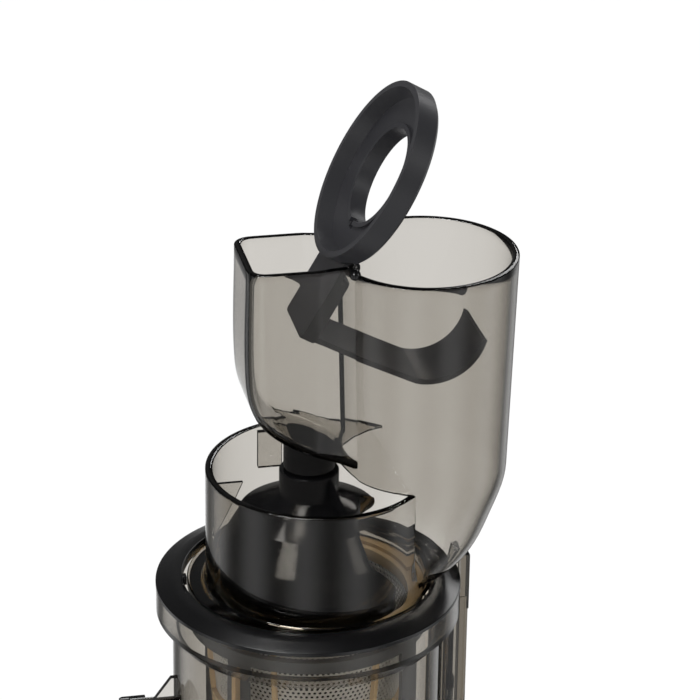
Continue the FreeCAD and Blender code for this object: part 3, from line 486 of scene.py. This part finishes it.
def make_clear_lid():
    """Bowl, shoulder, chute and box in one moulding, with rounded rims and an open slot under the box."""
    columns = range(2 * HALF_COLUMNS)
    crease_column = RIGHT_COLUMNS + CHUTE_COLUMNS

    def steps_left(column):
        """Columns past the corner, zero where the chute runs on into the shoulder."""
        return max(0, min(column, 2 * HALF_COLUMNS - column) - RIGHT_COLUMNS)

    def slot_round(column):
        return EDGE_ROUND * ease(0, 7, steps_left(column))

    def lip(column):
        return BOWL_RIM + LIP_RISE * ease(0, CHUTE_COLUMNS + BOX_COLUMNS, steps_left(column))

    def rim(column):
        past = min(column, 2 * HALF_COLUMNS - column) - crease_column
        height = CHUTE_RIM + (BOX_RIM - CHUTE_RIM) * ease(-5, 0, past)
        return height + EAR_RISE * ease(-4, -1, past) * (1 - ease(2, 9, past))

    def place(angle, reach, height):
        return (LID_CENTRE + reach * math.cos(angle), reach * math.sin(angle), RING_Z + height)

    def upper_row(share, inside):
        row = []
        for column in columns:
            foot = lip(column) + slot_round(column)
            height = foot + share * (rim(column) - EDGE_ROUND - foot)
            angle = column_angle(column, CORNER, neck_crease(height, inside))
            row.append(place(angle, upper_reach(angle, height, inside), height))
        return row

    def lower_row(height, inside, flare=0.0, top=False):
        inset = CHUTE_WALL if inside else 0.0
        corner = CORNER
        if height < BOWL_RIM:
            corner = meeting_angle(BOWL_X, BOWL_R - inset, along(SHOULDER_X, max(height, 11.5)),
                                   along(SHOULDER_R, max(height, 11.5)) - inset, CORNER)
            corner += (CORNER - corner) * ease(BOWL_RIM - 12, BOWL_RIM, height)
        row = []
        for column in columns:
            angle = column_angle(column, corner, NECK_TURN)
            drop = slot_round(column) if top else 0.0
            row.append(place(angle, lower_reach(angle, height, inside) + flare, height - drop))
        return row

    def flange_row(height, inset):
        row = []
        for column in columns:
            angle = column_angle(column, CORNER, NECK_TURN)
            reach = max(circle_reach(angle, 0.0, FLANGE_R - inset), lower_reach(angle, 0.0, False))
            row.append(place(angle, reach, height))
        return row

    def cap_rows(outer, inner, rise, count=8):
        """Rounded edge from an outer row to an inner row; rise gives each column's crown height."""
        rows = [outer]
        for step in range(1, count):
            turn = math.pi * step / count
            share = (1 - math.cos(turn)) / 2
            row = []
            for column, (a, b) in enumerate(zip(outer, inner)):
                row.append((a[0] + share * (b[0] - a[0]), a[1] + share * (b[1] - a[1]),
                            a[2] + share * (b[2] - a[2]) + rise(column) * math.sin(turn)))
            rows.append(row)
        return rows + [inner]

    points, faces = [], []
    floor_rows = [step / 36 * 0.33 for step in range(36)]
    wall_rows = [0.33 + 0.17 * step / 10 for step in range(10)]
    rim_rows = [0.5 + 0.5 * step / 10 for step in range(11)]
    shares = floor_rows + wall_rows + rim_rows
    outside = [upper_row(share, False) for share in shares]
    inside = [upper_row(share, True) for share in shares]
    add_strip(points, faces, outside, True)
    add_strip(points, faces, inside, True)
    add_strip(points, faces, cap_rows(outside[-1], inside[-1], lambda column: EDGE_ROUND), True)
    heights = [4.2, 5.5, 7, 8.5, 10, 11.5, 13, 15, 17.5, 20, 23, 26, 30, 34, 38.5, 43, 47, 51, 54, 57, 59]
    low_outside = [flange_row(FLANGE_FOOT, 0.0), flange_row(FLANGE_TOP - 0.6, 0.0)]
    low_outside += [flange_row(FLANGE_TOP, 0.6), lower_row(FLANGE_TOP, False, 1.4)]
    low_outside.append(lower_row(FLANGE_TOP + 0.5, False, 0.4))
    low_outside += [lower_row(height, False) for height in heights]
    low_outside.append(lower_row(BOWL_RIM, False, top=True))
    low_inside = [lower_row(FLANGE_FOOT, True), lower_row(0.0, True), lower_row(FLANGE_TOP, True)]
    low_inside += [lower_row(height, True) for height in heights]
    low_inside.append(lower_row(BOWL_RIM, True, top=True))
    add_strip(points, faces, low_outside, True)
    add_strip(points, faces, low_inside, True)
    add_strip(points, faces, [low_outside[0], low_inside[0]], True)
    left = slice(RIGHT_COLUMNS, 2 * HALF_COLUMNS - RIGHT_COLUMNS + 1)
    add_prism(points, faces, FIN, FIN_DEPTHS)
    add_prism(points, faces, RIB, RIB_DEPTHS)
    bowl_edge = cap_rows(low_outside[-1], low_inside[-1], slot_round)
    lip_edge = cap_rows(outside[0], inside[0], lambda column: -slot_round(column))
    add_strip(points, faces, [row[left] for row in bowl_edge], False)
    add_strip(points, faces, [row[left] for row in lip_edge], False)
    return add_piece("clear_lid", points, faces, SMOKY, "base", ["hopper", "chamber_bowl"])


def make_auger():
    """Feed bell with one deep spiral groove, turned smooth and polished."""
    columns = AUGER_COLUMNS
    rows = []

    def bell(height):
        """Radius of the bell at a height, straight between its turned edges."""
        place = 0
        while place < len(AUGER_PROFILE) - 2 and AUGER_PROFILE[place + 1][0] < height:
            place += 1
        (h0, r0), (h1, r1) = AUGER_PROFILE[place], AUGER_PROFILE[place + 1]
        return r0 + (r1 - r0) * (height - h0) / (h1 - h0)

    def ring(heights_and_radii):
        row = []
        for column, (height, radius) in enumerate(heights_and_radii):
            angle = 2 * math.pi * column / columns
            row.append((radius * math.cos(angle), radius * math.sin(angle), RING_Z + height))
        return row

    grid = []
    for column in range(columns):
        turn = (math.degrees(2 * math.pi * column / columns) - GROOVE_ANGLE) % 360.0
        depth = ease(0, 5, turn) * (1 - ease(GROOVE_TURN - 12, GROOVE_TURN, turn))
        low = GROOVE_START - GROOVE_PITCH * min(turn, GROOVE_TURN) / 360.0
        low = max(low, AUGER_FOOT + 2)
        high = min(AUGER_NECK_TOP - 1, low + GROOVE_HEIGHT)
        line = []
        for step in range(SHANK_ROWS + 1):
            height = AUGER_FOOT + (low - GROOVE_EDGE - AUGER_FOOT) * step / SHANK_ROWS
            line.append((height, bell(height)))
        for step in range(1, EDGE_ROWS + 1):
            share = step / EDGE_ROWS
            height = low - GROOVE_EDGE + GROOVE_EDGE * ease(0, 0.35, share)
            deep = bell(low) + (min(GROOVE_ROOT, bell(low)) - bell(low)) * share
            line.append((height, bell(height) + (deep - bell(low)) * depth))
        for step in range(1, GROOVE_ROWS + 1):
            height = low + (high - low) * step / GROOVE_ROWS
            line.append((height, bell(height) + (min(GROOVE_ROOT, bell(height)) - bell(height)) * depth))
        for step in range(1, EDGE_ROWS + 1):
            share = step / EDGE_ROWS
            deep = min(GROOVE_ROOT, bell(high))
            radius = deep + (bell(high) - deep) * share
            height = high + GROOVE_EDGE * ease(0.65, 1, share)
            line.append((height, bell(high) + (radius - bell(high)) * depth))
        above = high + GROOVE_EDGE
        for step in range(1, NECK_ROWS + 1):
            height = above + (AUGER_NECK_TOP - above) * step / NECK_ROWS
            line.append((height, bell(height)))
        grid.append(line)
    for index in range(len(grid[0])):
        rows.append(ring([line[index] for line in grid]))
    neck = AUGER_PROFILE[-1][1]
    for height, radius in ((AUGER_NECK_TOP + 0.6, neck - 0.6), (AUGER_NECK_TOP + 0.6, JOURNAL_R),
                           (JOURNAL_TOP, JOURNAL_R), (JOURNAL_TOP, 0.0)):
        rows.append(ring([(height, radius)] * columns))
    foot = [ring([(AUGER_FOOT, radius)] * columns) for radius in (0.0, SOCKET_R)]
    rows = foot + rows
    points, faces = [], []
    add_strip(points, faces, rows, True)
    return add_piece("auger_bell", points, faces, AUGER_BLACK, "auger", ["auger"], crease=14)


def make_strainer_sheet():
    """Conical strainer of thin sheet, punched with staggered round holes."""
    around = round(math.pi * (MESH_R_TOP + MESH_R_FOOT) / HOLE_PITCH)
    up = round((MESH_TOP - MESH_FOOT) / (HOLE_PITCH * math.sqrt(0.75)))
    points, faces = [], []

    def on_cone(turns, share):
        radius = MESH_R_FOOT + share * (MESH_R_TOP - MESH_R_FOOT) - SHEET_THICK
        angle = 2 * math.pi * turns / around
        height = MESH_FOOT + share * (MESH_TOP - MESH_FOOT)
        return (radius * math.cos(angle), radius * math.sin(angle), height)

    hole_across = HOLE_R / HOLE_PITCH
    hole_up = HOLE_R / (MESH_TOP - MESH_FOOT)
    for level in range(up):
        low, high = level / up, (level + 1) / up
        middle = (low + high) / 2
        shift = 0.5 * (level % 2)
        for step in range(around):
            centre = step + shift
            edge = [(-0.5, low), (0, low), (0.5, low), (0.5, middle)]
            edge += [(0.5, high), (0, high), (-0.5, high), (-0.5, middle)]
            start = len(points)
            points.extend(on_cone(centre + across, share) for across, share in edge)
            for corner in range(8):
                turn = math.radians(-135 + 45 * corner)
                across = centre + hole_across * math.cos(turn)
                points.append(on_cone(across, middle + hole_up * math.sin(turn)))
            for corner in range(8):
                after = (corner + 1) % 8
                faces.append((start + corner, start + after, start + 8 + after, start + 8 + corner))
    sheet = add_piece("punched_strainer", points, faces, SHEET_STEEL, "base",
                      ["strainer_mesh"])
    thick = sheet.modifiers.new("sheet_thickness", "SOLIDIFY")
    thick.thickness = SHEET_THICK * MM
    thick.offset = 1.0
    return sheet


def make_interlock_spring():
    """Wound wire spring under the interlock knob, built at one fixed length; the real spring closes up as the
    plunger goes down.
    """
    ring_points = 10
    rows = []
    steps = SPRING_TURNS * 24
    for step in range(steps + 1):
        angle = 2 * math.pi * step / 24
        height = SPRING_FOOT + SPRING_PITCH * angle / (2 * math.pi)
        row = []
        for corner in range(ring_points):
            turn = 2 * math.pi * corner / ring_points
            radius = SPRING_R + SPRING_WIRE / 2 * math.cos(turn)
            row.append((ROD_X + radius * math.cos(angle), radius * math.sin(angle),
                        height + SPRING_WIRE / 2 * math.sin(turn)))
        rows.append(row)
    points, faces = [], []
    add_strip(points, faces, rows, True)
    faces.append(tuple(range(ring_points)))
    faces.append(tuple(reversed(range(len(points) - ring_points, len(points)))))
    spring = add_piece("interlock_coil", points, faces, SPRING_STEEL, "base",
                       ["interlock_spring"])
    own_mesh(spring)
    return spring


def make_camera():
    """The photograph's camera, turned into the frame's axes."""
    turn = Matrix.Rotation(-HOPPER_TURN, 3, "Z")
    place = turn @ Vector((0, -CAMERA_BACK, CAMERA_ABOVE))
    place.z += RING_Z
    level = math.cos(CAMERA_PITCH)
    ahead = Vector((math.sin(CAMERA_YAW) * level, math.cos(CAMERA_YAW) * level, -math.sin(CAMERA_PITCH)))
    right = ahead.cross(Vector((0, 0, 1))).normalized()
    up = right.cross(ahead)
    tilted_right = right * math.cos(CAMERA_ROLL) + up * math.sin(CAMERA_ROLL)
    tilted_up = up * math.cos(CAMERA_ROLL) - right * math.sin(CAMERA_ROLL)
    axes = Matrix((turn @ tilted_right, turn @ tilted_up, turn @ -ahead)).transposed()
    data = bpy.data.cameras.new("photo_camera")
    data.sensor_width = SENSOR_WIDTH
    data.lens = FOCAL_LENGTH
    data.clip_end = 20.0
    camera = bpy.data.objects.new("photo_camera", data)
    bpy.context.scene.collection.objects.link(camera)
    camera.matrix_world = Matrix.Translation(place * MM) @ axes.to_4x4()
    bpy.context.scene.camera = camera


def seen_directly(tree, dim, mirrored, inner):
    """Brightness of the sweep: full where seen straight or through clear plastic.

    Dim is its light on open surfaces, mirrored is what gloss reflects of the cards round the object, and
    inner is its light on what stands behind the smoky walls, which take light twice. Light that is thrown
    back inside a clear wall meets the dark sides of the room, which gives the wall its black outline.
    """
    path = add_node(tree, "ShaderNodeLightPath")
    bounced = add_node(tree, "ShaderNodeMath", {"operation": "ADD"},
                       {0: path.outputs["Diffuse Depth"], 1: path.outputs["Glossy Depth"]})
    straight = add_node(tree, "ShaderNodeMath", {"operation": "LESS_THAN", 1: 0.5}, {0: bounced.outputs[0]})
    behind = add_node(tree, "ShaderNodeMath", {"operation": "GREATER_THAN", 1: 0.5},
                      {0: path.outputs["Transmission Depth"]})
    around = add_node(tree, "ShaderNodeMapRange", {"To Min": dim, "To Max": inner},
                      {"Value": behind.outputs[0]})
    lit = add_node(tree, "ShaderNodeMath", {"operation": "GREATER_THAN", 1: 0.5},
                   {0: path.outputs["Diffuse Depth"]})
    place = add_node(tree, "ShaderNodeTexCoord")
    turn = add_node(tree, "ShaderNodeTexGradient", {"gradient_type": "RADIAL"},
                    {"Vector": place.outputs["Object"]})
    lobes = add_node(tree, "ShaderNodeMath", {"operation": "MULTIPLY", 1: 2 * math.pi * CARD_LOBES},
                     {0: turn.outputs["Fac"]})
    wave = add_node(tree, "ShaderNodeMath", {"operation": "SINE"}, {0: lobes.outputs[0]})
    cards = add_node(tree, "ShaderNodeMapRange",
                     {"From Min": -1.0, "From Max": 1.0, "To Min": mirrored * 0.2, "To Max": mirrored},
                     {"Value": wave.outputs[0]})
    trapped = add_node(tree, "ShaderNodeMapRange", {"To Max": mirrored * 0.16},
                       {"Value": behind.outputs[0], "To Min": cards.outputs["Result"]})
    scattered = add_node(tree, "ShaderNodeMapRange", {},
                         {"Value": lit.outputs[0], "To Min": trapped.outputs["Result"],
                          "To Max": around.outputs["Result"]})
    return add_node(tree, "ShaderNodeMapRange", {"To Max": 1.0},
                    {"Value": straight.outputs[0], "To Min": scattered.outputs["Result"]})


def make_stage():
    """White sweep behind the object, dim surroundings for deep blacks, and large soft lamps."""
    scene = bpy.context.scene
    scene.view_settings.view_transform = "Standard"
    world = bpy.data.worlds.new("studio")
    scene.world = world
    world.use_nodes = True
    tree = world.node_tree
    glow = seen_directly(tree, *SKY_LIGHT)
    tree.links.new(glow.outputs["Result"], tree.nodes["Background"].inputs["Strength"])
    tree.nodes["Background"].inputs["Color"].default_value = (1, 1, 1, 1)
    bpy.ops.mesh.primitive_plane_add(size=30)
    floor = bpy.context.object
    floor.name = "floor"
    material, tree, shader, output = new_material("white_studio_floor")
    shader.inputs["Base Color"].default_value = (0.02, 0.02, 0.02, 1)
    shader.inputs["Roughness"].default_value = 1.0
    shader.inputs["Specular IOR Level"].default_value = 0.0
    shader.inputs["Emission Color"].default_value = (1, 1, 1, 1)
    glow = seen_directly(tree, *FLOOR_LIGHT)
    tree.links.new(glow.outputs["Result"], shader.inputs["Emission Strength"])
    floor.data.materials.append(material)
    for name, place, wide, tall, power in LAMPS:
        lamp = bpy.data.lights.new(name, "AREA")
        lamp.shape = "RECTANGLE"
        lamp.size = wide
        lamp.size_y = tall
        lamp.energy = power
        holder = bpy.data.objects.new(name, lamp)
        scene.collection.objects.link(holder)
        holder.visible_camera = False
        holder.location = place
        aim = Vector((0, 0, 0.4)) - Vector(place)
        holder.rotation_euler = aim.to_track_quat("-Z", "Y").to_euler()


finish_cad_nodes()
make_clear_lid()
make_auger()
make_strainer_sheet()
make_interlock_spring()
make_stage()
make_camera()
